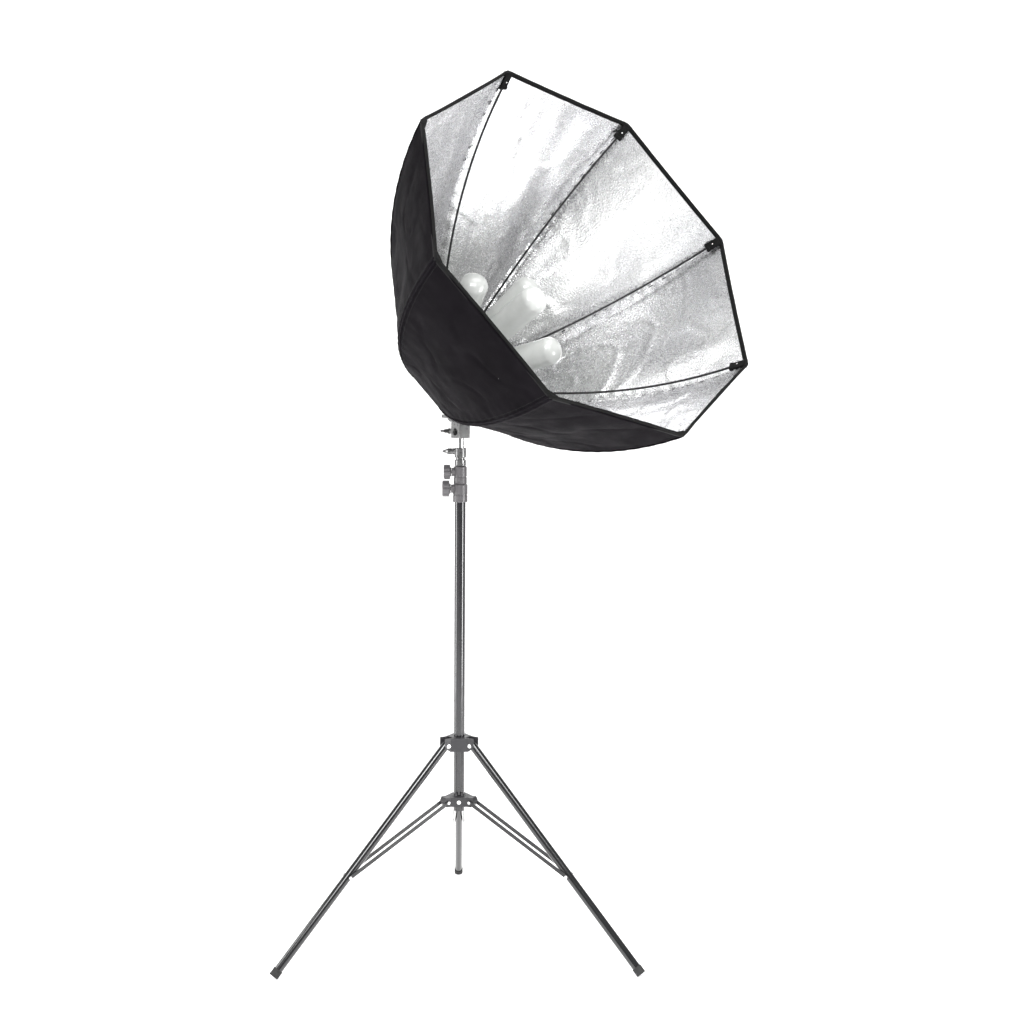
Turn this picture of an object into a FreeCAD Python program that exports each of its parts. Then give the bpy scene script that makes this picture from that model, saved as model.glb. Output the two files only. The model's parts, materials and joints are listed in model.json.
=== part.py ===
"""Studio softbox: an eight-sided silver-lined canopy on a five-lamp head, tilting on a three-section
stand that folds like an umbrella.

Millimetres, +Z up. The origin is on the floor under the mast. The softbox faces -Y and leans back.
"""

import FreeCAD, Part
import math
import os
import re

import Sketcher

DIMS = {
    # stand tubes
    "mast_od": 25, "mast_bore": 22.6, "mid_od": 22, "mid_bore": 19.6, "top_od": 19, "top_bore": 16.2,
    "mast_foot": 306, "mast_top": 1041.5, "mid_foot": 380, "mid_top": 1084, "top_foot": 420,
    "slip": 0.1, "stud_od": 16,
    # leg collar and legs
    "collar_low": 447, "collar_high": 480, "leg_pivot_out": 35.4, "leg_pivot_up": 462.9,
    "leg_angle": 43.03, "leg_od": 19, "leg_wall": 1.2, "leg_tube_len": 618, "leg_over": 9,
    "foot_start": 608, "foot_len": 18, "foot_od": 21.6, "pin_od": 6, "web_r": 26,
    # spreader hub and struts
    "hub_low": 319, "hub_high": 342, "hub_pivot_out": 35, "hub_pivot_up": 330.4,
    "strut_angle": 61.78, "strut_len": 282.4, "bar_wide": 8, "bar_thick": 2.4, "bar_gap": 11.1,
    "strut_pin": 4.5, "ridge_r": 24,
    "rear_leg": 50.62, "left_leg": 170.62, "right_leg": 290.62,
    # lock collars and knobs
    "low_collar_base": 1021.5, "low_collar_top": 1062.6, "low_collar_od": 33.4, "low_knob_up": 1052,
    "high_collar_base": 1063, "high_collar_top": 1103.2, "high_collar_od": 30, "high_knob_up": 1090,
    "knob_side": 140.62,
    # receiver, stud and bracket
    "receiver_base": 1103.8, "neck_base": 1118, "clamp_base": 1123, "receiver_top": 1145,
    "receiver_screw_up": 1137, "block_base": 1167, "block_top": 1200, "block_wide": 31,
    "tilt_up": 1216.4, "fork_gap": 7.8, "fork_round": 14, "tilt_pin_od": 8,
    "cross_hole_up": 1181, "bracket_screw_up": 1182,
    # lamp head, measured from the plane 520 behind the rim
    "elevation": 28.52, "tilt_below": 104.6, "tilt_behind": 15, "head_od": 108, "head_back": -22,
    "head_front": 26, "ring_low": 12.3, "ring_thick": 6, "ring_out": 109,
    "holder_cant": 20, "bulb_out": 41.4, "bulb_base_up": 52.5, "centre_base_up": 116,
    "bulb_od": 62, "bulb_len": 224, "ballast_len": 44, "ballast_od": 52,
    # canopy
    "sides": 8, "first_rib": 7.45, "rim_r": 433, "rim_up": 520, "mid_r": 316, "mid_up": 230,
    "back_r": 124, "back_up": 12, "cloth": 2, "rod_od": 5,
}

doc = FreeCAD.newDocument("softbox")
sheet = doc.addObject("Spreadsheet::Sheet", "dims")
for row, (alias, value) in enumerate(DIMS.items(), 1):
    sheet.set(f"A{row}", alias)
    sheet.set(f"B{row}", str(value))
    sheet.setAlias(f"B{row}", alias)
doc.recompute()

NODES = {}
V = FreeCAD.Vector
Place = FreeCAD.Placement
Turn = FreeCAD.Rotation
ALIAS = re.compile(r"\b(" + "|".join(DIMS) + r")\b")


# ---- small helpers -------------------------------------------------------------------------------

def link(text):
    """An expression on the sheet, from one written with bare aliases."""
    return ALIAS.sub(r"dims.\1", str(text))


def size(text):
    """The number that such an expression has now."""
    return float(sheet.evalExpression(link(text)))


def frame(x=0, y=0, z=0, axis=(0, 0, 1), angle=0):
    return Place(V(size(x), size(y), size(z)), Turn(V(*axis), size(angle)))


def primitive(kind, at, turn, **sizes):
    piece = doc.addObject(kind, "solid")
    for name, text in sizes.items():
        piece.setExpression(name, link(text))
    piece.Placement = Place(V(*[size(c) for c in at]), Turn(*turn))
    for name, text in zip("xyz", at):
        piece.setExpression("Placement.Base." + name, link(text))
    return piece


UP = (V(0, 0, 1), 0)
ALONG_X = (V(0, 1, 0), 90)
ALONG_Y = (V(1, 0, 0), -90)


def rod(radius, length, at=(0, 0, 0), turn=UP):
    return primitive("Part::Cylinder", at, turn, Radius=radius, Height=length)


def block(x, y, z, at=(0, 0, 0), turn=UP):
    return primitive("Part::Box", at, turn, Length=x, Width=y, Height=z)


def prism(radius, height, at=(0, 0, 0), angle=0):
    piece = primitive("Part::Prism", at, (V(0, 0, 1), size(angle)), Circumradius=radius, Height=height)
    piece.Polygon = DIMS["sides"]
    return piece


def fuse(*pieces):
    if len(pieces) == 1:
        return pieces[0]
    joined = doc.addObject("Part::MultiFuse", "fusion")
    joined.Shapes = list(pieces)
    joined.Refine = True
    return joined


def cut(base, *tools):
    result = doc.addObject("Part::Cut", "cut")
    result.Base = base
    result.Tool = fuse(*tools)
    return result


def node(label, pieces, where=None):
    """Registers a finished sub-part: one object, or a group of like pieces."""
    where = where or Place()
    pieces = pieces if isinstance(pieces, list) else [pieces]
    primitive_base = any(path.startswith("Placement") for path, _ in pieces[0].ExpressionEngine)
    if len(pieces) > 1 or primitive_base:
        part = doc.addObject("Part::Compound", label)
        part.Links = pieces
    else:
        part = pieces[0]
    part.Placement = where.multiply(part.Placement)
    part.Label = label
    NODES[label] = part
    return part


# ---- sketched bodies -----------------------------------------------------------------------------

def new_body(label):
    body = doc.addObject("PartDesign::Body", label)
    body.Label = label
    return body


def origin_of(body, role):
    return [f for f in body.Origin.OriginFeatures if f.Role == role][0]


def new_sketch(body, plane, lift=0, spin=0):
    """A sketch on an origin plane, lifted off it and spun about its own vertical."""
    sketch = body.newObject("Sketcher::SketchObject", "profile")
    sketch.AttachmentSupport = [(origin_of(body, plane), "")]
    sketch.MapMode = "FlatFace"
    sketch.AttachmentOffset = Place(V(0, 0, size(lift)), Turn(V(0, 1, 0), spin))
    if lift:
        sketch.setExpression("AttachmentOffset.Base.z", link(lift))
    return sketch


def pin_point(sketch, edge, end, x, y):
    """Fixes one point of a sketch at sheet-driven distances from its origin."""
    for kind, text in (("DistanceX", x), ("DistanceY", y)):
        number = sketch.addConstraint(Sketcher.Constraint(kind, -1, 1, edge, end, size(text)))
        if any(alias in str(text) for alias in DIMS):
            sketch.setExpression(f"Constraints[{number}]", link(text))


def outline(body, plane, corners, lift=0):
    sketch = new_sketch(body, plane, lift)
    spots = [V(size(x), size(y), 0) for x, y in corners]
    count = len(corners)
    for i in range(count):
        sketch.addGeometry(Part.LineSegment(spots[i], spots[(i + 1) % count]), False)
    for i in range(count):
        sketch.addConstraint(Sketcher.Constraint("Coincident", i, 2, (i + 1) % count, 1))
    for i, (x, y) in enumerate(corners):
        pin_point(sketch, i, 1, x, y)
    return sketch


def circle(body, plane, x, y, radius, lift=0, spin=0):
    sketch = new_sketch(body, plane, lift, spin)
    sketch.addGeometry(Part.Circle(V(size(x), size(y), 0), V(0, 0, 1), size(radius)), False)
    pin_point(sketch, 0, 3, x, y)
    number = sketch.addConstraint(Sketcher.Constraint("Radius", 0, size(radius)))
    sketch.setExpression(f"Constraints[{number}]", link(radius))
    return sketch


def revolve(body, corners):
    """Turns a profile drawn as (radius, height) about the body's own Z."""
    sketch = outline(body, "XZ_Plane", corners)
    feature = body.newObject("PartDesign::Revolution", "turned")
    feature.Profile = sketch
    feature.ReferenceAxis = (sketch, ["V_Axis"])
    feature.Angle = 360
    return feature


def pad(body, sketch, length, middle=False, back=False):
    feature = body.newObject("PartDesign::Pad", "pad")
    feature.Profile = sketch
    feature.setExpression("Length", link(length))
    feature.Midplane = middle
    feature.Reversed = back
    return feature


def pocket(body, sketch, length, back=False, middle=False):
    feature = body.newObject("PartDesign::Pocket", "pocket")
    feature.Profile = sketch
    feature.setExpression("Length", link(length))
    feature.Reversed = back
    feature.Midplane = middle
    return feature


def repeat(body, features, count):
    """Repeats features round the body's Z axis."""
    pattern = body.newObject("PartDesign::PolarPattern", "ring")
    pattern.Originals = features
    pattern.Axis = (origin_of(body, "Z_Axis"), [""])
    pattern.Angle = 360
    pattern.Occurrences = count
    body.Tip = pattern
    return pattern


# ---- frames of the stand and the head ------------------------------------------------------------

LEGS = {"rear": "rear_leg", "left": "left_leg", "right": "right_leg"}


def leg_plane(side):
    """X points out over the leg, Y across it."""
    return frame(angle=LEGS[side])


def leg_axis(side):
    """Z runs down the leg from its pivot."""
    pivot = frame("leg_pivot_out", 0, "leg_pivot_up", (0, 1, 0), "180 - leg_angle")
    return leg_plane(side).multiply(pivot)


def strut_axis(side):
    """Z runs out along the strut from the hub."""
    pivot = frame("hub_pivot_out", 0, "hub_pivot_up", (0, 1, 0), "180 - strut_angle")
    return leg_plane(side).multiply(pivot)


def side_screw(height, azimuth):
    """Z points out of the mast at a height and azimuth."""
    return frame(0, 0, height, angle=azimuth).multiply(frame(axis=(0, 1, 0), angle=90))


def head_frame():
    """X across, Y up the head, Z forward along the canopy's axis."""
    tilt = Place(V(0, 0, size("tilt_up")), Turn(V(1, 0, 0), 90 - size("elevation")))
    return tilt.multiply(frame(0, "tilt_below", "tilt_behind"))


HEAD = head_frame()


# ---- mast ----------------------------------------------------------------------------------------

def tube(label, outer, bore, base, top):
    """A round tube with its lower end at base."""
    shell = cut(
        rod(f"{outer} / 2", f"{top} - {base}"),
        rod(f"{bore} / 2", f"{top} - {base} + 2", (0, 0, -1)),
    )
    node(label, shell, frame(z=base))


def make_tubes():
    tube("mast_lower_tube", "mast_od", "mast_bore", "mast_foot", "mast_top")
    tube("mast_mid_tube", "mid_od", "mid_bore", "mid_foot", "mid_top")
    tube("mast_top_tube", "top_od", "top_bore", "top_foot", "neck_base - 2")
    bush = new_body("mid_tube_guide_bush")
    wide = "(mast_bore - slip) / 2"
    revolve(bush, [
        (6.5, -14), (f"{wide} - 1", -14), (wide, -13), (wide, -1), (f"{wide} - 0.6", 0), (6.5, 0),
    ])
    node("mid_tube_guide_bush", bush, frame(z="mid_foot"))
    bush = new_body("top_tube_guide_bush")
    wide = "(mid_bore - slip) / 2"
    revolve(bush, [
        (5, -12), (f"{wide} - 1", -12), (wide, -11), (wide, -1), (f"{wide} - 0.6", 0), (5, 0),
    ])
    node("top_tube_guide_bush", bush, frame(z="top_foot"))


def lock_collar(label, base, top, outer, tube_od, tube_top, inner_od, knob_up, azimuth):
    """A collar fixed on one tube that clamps the next with a side screw."""
    height = f"{top} - {base}"
    body = new_body(label)
    revolve(body, [
        (f"{tube_od} / 2", 0), (f"{outer} / 2 - 1.2", 0), (f"{outer} / 2", 1.2),
        (f"{outer} / 2", f"({height}) * 0.36"), (f"{outer} / 2 - 0.9", f"({height}) * 0.36 + 0.6"),
        (f"{outer} / 2 - 0.9", f"({height}) * 0.36 + 3"), (f"{outer} / 2", f"({height}) * 0.36 + 3.6"),
        (f"{outer} / 2", f"{height} - 2"), (f"{outer} / 2 - 2", height),
        (f"{inner_od} / 2 + slip", height), (f"{inner_od} / 2 + slip", f"{tube_top} - {base}"),
        (f"{tube_od} / 2", f"{tube_top} - {base}"),
    ])
    boss = circle(body, "YZ_Plane", 0, f"{knob_up} - {base}", 9.6, f"{tube_od} / 2 + slip")
    pad(body, boss, f"{outer} / 2 + 4.5 - ({tube_od} / 2 + slip)")
    doc.recompute()
    hole = circle(body, "YZ_Plane", 0, f"{knob_up} - {base}", 4.1, 0)
    pocket(body, hole, 40, back=True)
    node(label, body, frame(z=base, angle=azimuth))


def make_collars():
    lock_collar("lower_lock_collar", "low_collar_base", "low_collar_top", "low_collar_od", "mast_od",
                "mast_top", "mid_od", "low_knob_up", "knob_side")
    lock_collar("upper_lock_collar", "high_collar_base", "high_collar_top", "high_collar_od", "mid_od",
                "mid_top", "top_od", "high_knob_up", "knob_side")


def screw_knob(label, where, tip, start, end, radius, flutes=7):
    """A fluted hand knob on a short screw: tip, start and end are measured out of the mast axis."""
    body = new_body(label)
    revolve(body, [
        (0, tip), (3.6, tip), (4, f"{tip} + 0.6"), (4, start), (f"{radius} * 0.62", start),
        (f"{radius} * 0.62", f"{start} + 2.4"), (f"{radius} - 0.8", f"{start} + 3"),
        (radius, f"{start} + 4"), (radius, f"{end} - 2.2"), (f"{radius} - 2.2", end),
        (f"{radius} * 0.5", end), (f"{radius} * 0.44", f"{end} - 0.8"), (0, f"{end} - 0.8"),
    ])
    flute = circle(body, "XY_Plane", f"{radius} + 1.6", 0, 3.4, f"{start} + 2.8")
    groove = pocket(body, flute, f"{end} - {start}", back=True)
    repeat(body, [groove], flutes)
    node(label, body, where)


def make_knobs():
    screw_knob("lower_lock_knob", side_screw("low_knob_up", "knob_side"), "mid_od / 2 + 0.4",
               "low_collar_od / 2 + 5.2", 41, 18.5)
    screw_knob("upper_lock_knob", side_screw("high_knob_up", "knob_side"), "top_od / 2 + 0.4",
               "high_collar_od / 2 + 5.2", 38, 16.6)


def wing_screw(label, where, tip, start):
    """A wing-headed clamp screw pointing along Z: tip and start are measured from the clamped axis."""
    body = new_body(label)
    revolve(body, [
        (0, tip), (3.6, tip), (4, f"{tip} + 0.6"), (4, start), (6.4, start), (6.8, f"{start} + 3"),
        (6.8, f"{start} + 9"), (3.4, f"{start} + 17"), (1.8, f"{start} + 22"), (0, f"{start} + 22.6"),
    ])
    wings = outline(body, "YZ_Plane", [
        (-4, f"{start} + 3"), (4, f"{start} + 3"), (9, f"{start} + 6"), (10, f"{start} + 10"),
        (6, f"{start} + 15"), (3, f"{start} + 21"), (-3, f"{start} + 21"), (-6, f"{start} + 15"),
        (-10, f"{start} + 10"), (-9, f"{start} + 6"),
    ])
    pad(body, wings, 4.6, middle=True)
    node(label, body, where)


# ---- folding base --------------------------------------------------------------------------------

def three_lobes(body, lift, height, shoulder, reach, half_wide, ridge):
    """Pads a three-lobed plan: parallel lobes over the legs, with a ridge between each two."""
    corners = []
    for k in range(3):
        turn = math.radians(120 * k)
        for out, across in ((shoulder, -1), (reach, -1), (reach, 1), (shoulder, 1)):
            x = size(out)
            y = across * size(half_wide)
            corners.append((x * math.cos(turn) - y * math.sin(turn), x * math.sin(turn) + y * math.cos(turn)))
        turn += math.radians(60)
        corners.append((size(ridge) * math.cos(turn), size(ridge) * math.sin(turn)))
    return pad(body, outline(body, "XY_Plane", corners, lift), height)


def make_leg_collar():
    low = "collar_low"
    body = new_body("leg_collar")
    revolve(body, [
        ("mast_od / 2 + slip", 0), (17.4, 0), (18.4, 1), (18.4, "collar_high - collar_low - 1"),
        (17.4, "collar_high - collar_low"), ("mast_od / 2 + slip", "collar_high - collar_low"),
    ])
    middle = f"leg_pivot_up - {low}"
    three_lobes(body, 2, "collar_high - collar_low - 2", "leg_pivot_out - 5.4", "leg_pivot_out + 8.2", "leg_od / 2 + 3.6", "web_r")
    doc.recompute()
    bore = circle(body, "XY_Plane", 0, 0, "mast_od / 2 + slip", 50)
    pocket(body, bore, 60)
    doc.recompute()
    gap = outline(body, "XZ_Plane", [(21.4, -2), (50, -2), (50, 40), (21.4, 40)])
    slot = pocket(body, gap, "leg_od + 0.8", middle=True)
    doc.recompute()
    under = outline(body, "XZ_Plane", [(27, -1), (50, -1), (50, f"{middle} + 1"), (42, f"{middle} - 5")])
    chin = pocket(body, under, 60, middle=True)
    doc.recompute()
    eye = circle(body, "XZ_Plane", "leg_pivot_out", middle, "pin_od / 2")
    pin_hole = pocket(body, eye, 40, middle=True)
    doc.recompute()
    repeat(body, [slot, chin, pin_hole], 3)
    node("leg_collar", body, frame(z=low, angle="rear_leg"))


def make_hub():
    low = "hub_low"
    tall = "hub_high - hub_low"
    body = new_body("spreader_hub")
    revolve(body, [
        ("mast_od / 2", 0), (18.2, 0), (19.4, 1.2), (19.4, f"{tall} - 2"), (17.4, tall), ("mast_od / 2", tall),
    ])
    middle = f"hub_pivot_up - {low}"
    three_lobes(body, 0.5, f"{tall} - 1", "hub_pivot_out - 6.6", "hub_pivot_out + 9", "bar_gap - 0.5", "ridge_r")
    doc.recompute()
    bore = circle(body, "XY_Plane", 0, 0, "mast_od / 2", 50)
    pocket(body, bore, 60)
    doc.recompute()
    nose = outline(body, "XZ_Plane", [(36, -2), (50, -2), (50, f"{middle} - 2"), (44.5, f"{middle} - 2")])
    chin = pocket(body, nose, 60, middle=True)
    doc.recompute()
    nose = outline(body, "XZ_Plane", [(36, 32), (50, 32), (50, f"{middle} + 2"), (44.5, f"{middle} + 2")])
    brow = pocket(body, nose, 60, middle=True)
    doc.recompute()
    eye = circle(body, "XZ_Plane", "hub_pivot_out", middle, "strut_pin / 2")
    pin_hole = pocket(body, eye, 40, middle=True)
    doc.recompute()
    repeat(body, [chin, brow, pin_hole], 3)
    doc.recompute()
    for near in (-10, 4):
        tab = outline(body, "XY_Plane", [(-18.6, near), (-14.4, near), (-14.4, near + 6), (-18.6, near + 6)],
                      f"{tall} - 3")
        pad(body, tab, 11)
        doc.recompute()
    screw = circle(body, "YZ_Plane", 0, middle, 3)
    pocket(body, screw, 30, back=False)
    node("spreader_hub", body, frame(z=low, angle="rear_leg"))


def cross_pin(out, up, reach, head, thick):
    """A rivet lying across a leg plane, with a round head at each end."""
    return fuse(
        rod(f"{thick} / 2", f"2 * ({reach})", (out, f"-({reach})", up), ALONG_Y),
        rod(head, 1.6, (out, f"-({reach}) - 1.6", up), ALONG_Y),
        rod(head, 1.6, (out, reach, up), ALONG_Y),
    )


def make_pins():
    """The pins of the collar and of the hub, three each."""
    for label, out, up, reach, head, thick in (
        ("leg_pivot_bolts", "leg_pivot_out", "leg_pivot_up", "leg_od / 2 + 3.6", 4.6, "pin_od"),
        ("strut_hub_bolts", "hub_pivot_out", "hub_pivot_up", "bar_gap + bar_thick + 0.3", 3.4, "strut_pin"),
    ):
        pins = []
        for side in LEGS:
            pin = cross_pin(out, up, reach, head, thick)
            pin.Placement = leg_plane(side)
            pins.append(pin)
        node(label, pins)
    screw = fuse(
        rod(3, "ridge_r + 2.2 - mast_od / 2 - 0.2", ("-ridge_r - 2.2", 0, 0), ALONG_X),
        rod(4.6, 2.2, ("-ridge_r - 2.2", 0, 0), ALONG_X),
    )
    screw = cut(screw, block(2, 1.2, 12, ("-ridge_r - 2.8", -0.6, -6)))
    node("hub_fixing_screw", screw, frame(z="hub_pivot_up", angle="rear_leg"))


def make_leg(side):
    shell = cut(
        rod("leg_od / 2", "leg_tube_len + leg_over", (0, 0, "-leg_over")),
        rod("leg_od / 2 - leg_wall", "leg_tube_len + leg_over + 2", (0, 0, "-leg_over - 1")),
        rod("pin_od / 2 + slip", "leg_od + 4", (0, "-leg_od / 2 - 2", 0), ALONG_Y),
    )
    node(f"leg_{side}_tube", shell, leg_axis(side))
    foot = rod("foot_od / 2", "foot_len", (0, 0, "foot_start"))
    sink = rod("leg_od / 2", "leg_tube_len - foot_start + 1", (0, 0, "foot_start - 1"))
    floor = block(400, 100, 100)
    floor.setExpression("Placement.Base.x", None)
    floor.setExpression("Placement.Base.y", None)
    floor.setExpression("Placement.Base.z", None)
    to_local = frame("leg_pivot_out", 0, "leg_pivot_up", (0, 1, 0), "180 - leg_angle").inverse()
    floor.Placement = to_local.multiply(Place(V(300, -50, -100), Turn()))
    node(f"leg_{side}_foot", cut(foot, sink, floor), leg_axis(side))


def make_strut(side):
    bars = []
    rivets = []
    for hand in (-1, 1):
        body = new_body(f"bar_{side}")
        half = "bar_wide / 2"
        profile = outline(body, "XZ_Plane", [
            (f"-{half}", -3), (f"-{half} / 2", -5), (f"{half} / 2", -5), (half, -3),
            (half, "strut_len + 3"), (f"{half} / 2", "strut_len + 5"),
            (f"-{half} / 2", "strut_len + 5"), (f"-{half}", "strut_len + 3"),
        ], f"{-hand} * (bar_gap + bar_thick / 2)")
        pad(body, profile, "bar_thick", middle=True)
        for along, radius in ((0, "strut_pin / 2 + slip"), ("strut_len", "strut_pin / 2")):
            doc.recompute()
            eye = circle(body, "XZ_Plane", 0, along, radius)
            pocket(body, eye, 60, middle=True)
        bars.append(body)
        start = "bar_gap" if hand > 0 else "-bar_gap - bar_thick - 1.4"
        rivets.append(fuse(
            rod("strut_pin / 2", "bar_thick + 1.4", (0, start, "strut_len"), ALONG_Y),
            rod(3.6, 1.4, (0, "bar_gap + bar_thick" if hand > 0 else start, "strut_len"), ALONG_Y),
        ))
    node(f"strut_{side}_bars", bars, strut_axis(side))
    node(f"strut_{side}_rivets", rivets, strut_axis(side))


# ---- receiver, stud and tilting bracket ----------------------------------------------------------

def make_receiver():
    body = new_body("top_receiver")
    base = "receiver_base"
    revolve(body, [
        ("top_od / 2", 0), (11.8, 0), (12.75, 1), (12.75, f"neck_base - {base} - 1"),
        (11.8, f"neck_base - {base}"), (10, f"neck_base - {base}"), (10, f"clamp_base - {base}"),
        (12.2, f"clamp_base - {base}"), (13.1, f"clamp_base - {base} + 1"),
        (13.1, f"receiver_top - {base} - 1.2"), (11.9, f"receiver_top - {base}"),
        ("stud_od / 2", f"receiver_top - {base}"), ("stud_od / 2", f"neck_base - 2 - {base}"),
        ("top_od / 2", f"neck_base - 2 - {base}"),
    ])
    boss = circle(body, "YZ_Plane", 0, f"receiver_screw_up - {base}", 7, "stud_od / 2 + 0.5")
    pad(body, boss, 9.5)
    doc.recompute()
    hole = circle(body, "YZ_Plane", 0, f"receiver_screw_up - {base}", 4.1)
    pocket(body, hole, 40, back=True)
    node("top_receiver", body, frame(z=base, angle="knob_side"))
    stud = new_body("spigot")
    reach = "block_top - 4 - neck_base"
    revolve(stud, [
        (0, 0), (7, 0), ("stud_od / 2", 1), ("stud_od / 2", f"{reach} - 10"), (6.6, f"{reach} - 9"),
        (6.6, f"{reach} - 5"), ("stud_od / 2", f"{reach} - 4"), ("stud_od / 2", f"{reach} - 1"),
        (7, reach), (0, reach),
    ])
    node("spigot", stud, frame(z="neck_base"))


def make_bracket():
    half = "block_wide / 2"
    casting = fuse(
        block("block_wide", "block_wide", "block_top - block_base", (f"-{half}", f"-{half}", "block_base")),
        block("block_wide", "2 * fork_round", "tilt_up - block_top + 1", (f"-{half}", "-fork_round", "block_top - 1")),
        rod("fork_round", "block_wide", (f"-{half}", 0, "tilt_up"), ALONG_X),
    )
    casting = cut(
        casting,
        block("2 * fork_gap", 60, 40, ("-fork_gap", -30, "block_top")),
        rod("stud_od / 2 + slip / 2", "block_top - 3.4 - block_base + 5", (0, 0, "block_base - 5")),
        rod(8.2, 60, (-30, 0, "cross_hole_up"), ALONG_X),
        rod(4.1, 40, (0, 0, "bracket_screw_up"), ALONG_Y),
        rod("tilt_pin_od / 2", 60, (-30, 0, "tilt_up"), ALONG_X),
    )
    soft = doc.addObject("Part::Fillet", "rounded")
    soft.Base = casting
    doc.recompute()
    corner = size(half)
    upright = [
        (i + 1, 1.3, 1.3)
        for i, edge in enumerate(casting.Shape.Edges)
        if all(abs(abs(p.Point.x) - corner) < 0.01 and abs(abs(p.Point.y) - corner) < 0.01 for p in edge.Vertexes)
        and edge.Length > 20
    ]
    soft.Edges = upright
    node("bracket_body", soft)
    bolt = fuse(
        rod("tilt_pin_od / 2", "block_wide + 9", (f"-{half} - 5", 0, 0), ALONG_X),
        primitive("Part::Prism", (half, 0, 0), ALONG_X, Circumradius=7.2, Height=5),
    )
    node("tilt_bolt", bolt, frame(z="tilt_up"))
    handle = fuse(
        rod(4, 32, (0, 0, "stud_od / 2 + 0.3")),
        rod(6.5, 2.4, (0, 0, 38.8)),
        rod(5, 12.6, (0, 0, 41)),
        block(26, 6, 12, (-13, -3, 41.4)),
        rod(3, 12, (-13, 0, 41.4)),
        rod(3, 12, (13, 0, 41.4)),
    )
    node("bracket_t_screw", handle, frame(z="bracket_screw_up", axis=(1, 0, 0), angle=-90))
    wing_screw("receiver_t_screw", side_screw("receiver_screw_up", "knob_side"), "stud_od / 2 + 0.3", 18.4)
    lever = new_body("tilt_lever")
    revolve(lever, [
        (4.05, 0), (8, 0), (8, 2), (11.4, 2.6), (12.4, 3.6), (12.4, 13), (10.8, 14.6), (0, 14.6),
        (0, 6), (4.05, 6),
    ])
    arm = outline(lever, "XY_Plane", [(-4.5, 0), (4.5, 0), (3.6, 34), (-3.6, 34)], 5)
    pad(lever, arm, 7)
    node("tilt_lever", lever, frame(f"-{half} - 0.4", 0, "tilt_up", (0, 1, 0), -90))


# ---- lamp head -----------------------------------------------------------------------------------

def make_head():
    shell = new_body("head_housing")
    radius = "head_od / 2"
    revolve(shell, [
        (f"{radius} - 3", "head_back"), (radius, "head_back"), (radius, "head_front - 3"),
        (f"{radius} - 3", "head_front"), (0, "head_front"), (0, "head_front - 3"),
        (f"{radius} - 3", "head_front - 3"),
    ])
    node("head_housing", shell, HEAD)

    plate = new_body("head_rear_cover")
    revolve(plate, [
        (0, -4), (f"{radius} - 4", -4), (radius, -2.4), (radius, 0), (f"{radius} - 3.4", 0),
        (f"{radius} - 3.4", 4), (f"{radius} - 6", 4), (f"{radius} - 6", 0), (0, 0),
    ])
    for column in (-24, 0, 24):
        frame_sketch = outline(plate, "XY_Plane", [
            (column - 9, 4), (column + 9, 4), (column + 9, 30), (column - 9, 30),
        ], -4)
        pad(plate, frame_sketch, 2, back=True)
    doc.recompute()
    for column in (-24, 0, 24):
        window = outline(plate, "XY_Plane", [
            (column - 6.6, 6.8), (column + 6.6, 6.8), (column + 6.6, 27.2), (column - 6.6, 27.2),
        ], -8)
        pocket(plate, window, 12, back=True)
    doc.recompute()
    vent = outline(plate, "XY_Plane", [(-18, -44), (18, -44), (18, -41.5), (-18, -41.5)], -6)
    pocket(plate, vent, 10, back=True)
    doc.recompute()
    vent = outline(plate, "XY_Plane", [(-22, -39.5), (22, -39.5), (22, -37), (-22, -37)], -6)
    pocket(plate, vent, 10, back=True)
    doc.recompute()
    gland_hole = circle(plate, "XY_Plane", 0, -22, 8, -6)
    pocket(plate, gland_hole, 10, back=True)
    node("head_rear_cover", plate, HEAD.multiply(frame(z="head_back")))

    gland = new_body("cable_gland")
    revolve(gland, [
        (0, 6), (8, 6), (8, -4), (12.4, -4), (12.4, -8), (11, -8.6), (11, -15), (9, -19), (5, -20.4),
        (5, -19.4), (0, -19.4),
    ])
    node("cable_gland", gland, HEAD.multiply(frame(0, -22, "head_back")))

    for number, column in enumerate((-24, 0, 24), 1):
        rocker = new_body(f"rocker_{number}")
        profile = outline(rocker, "YZ_Plane", [
            (-9.4, -3.4), (0, -1.6), (9.4, -3.4), (9.4, 2.2), (4, 4), (-4, 4), (-9.4, 2.2),
        ])
        pad(rocker, profile, 12.2, middle=True)
        key = fuse(rocker, rod(1.5, 13, (-6.5, 0, 0), ALONG_X))
        seat = frame(column, 17, "head_back - 4", (1, 0, 0), 7)
        node(f"rocker_{number}", key, HEAD.multiply(seat))

    make_tilt_plate()
    make_speed_ring()


def make_tilt_plate():
    radius = "head_od / 2"
    tab = fuse(
        rod(14.4, "2 * (fork_gap - 0.3)", ("-fork_gap + 0.3", "-tilt_below", "-tilt_behind"), ALONG_X),
        block("2 * (fork_gap - 0.3)", "tilt_below - 50", 28.8, ("-fork_gap + 0.3", "-tilt_below", "-tilt_behind - 14.4")),
        block(52, 18, 32, (-26, "-head_od / 2 - 6", "-tilt_behind - 9")),
    )
    tab = cut(
        tab,
        rod(radius, 120, (0, 0, -80)),
        rod("tilt_pin_od / 2 + slip / 2", 60, (-30, "-tilt_below", "-tilt_behind"), ALONG_X),
    )
    node("tilt_plate", tab, HEAD)


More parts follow.
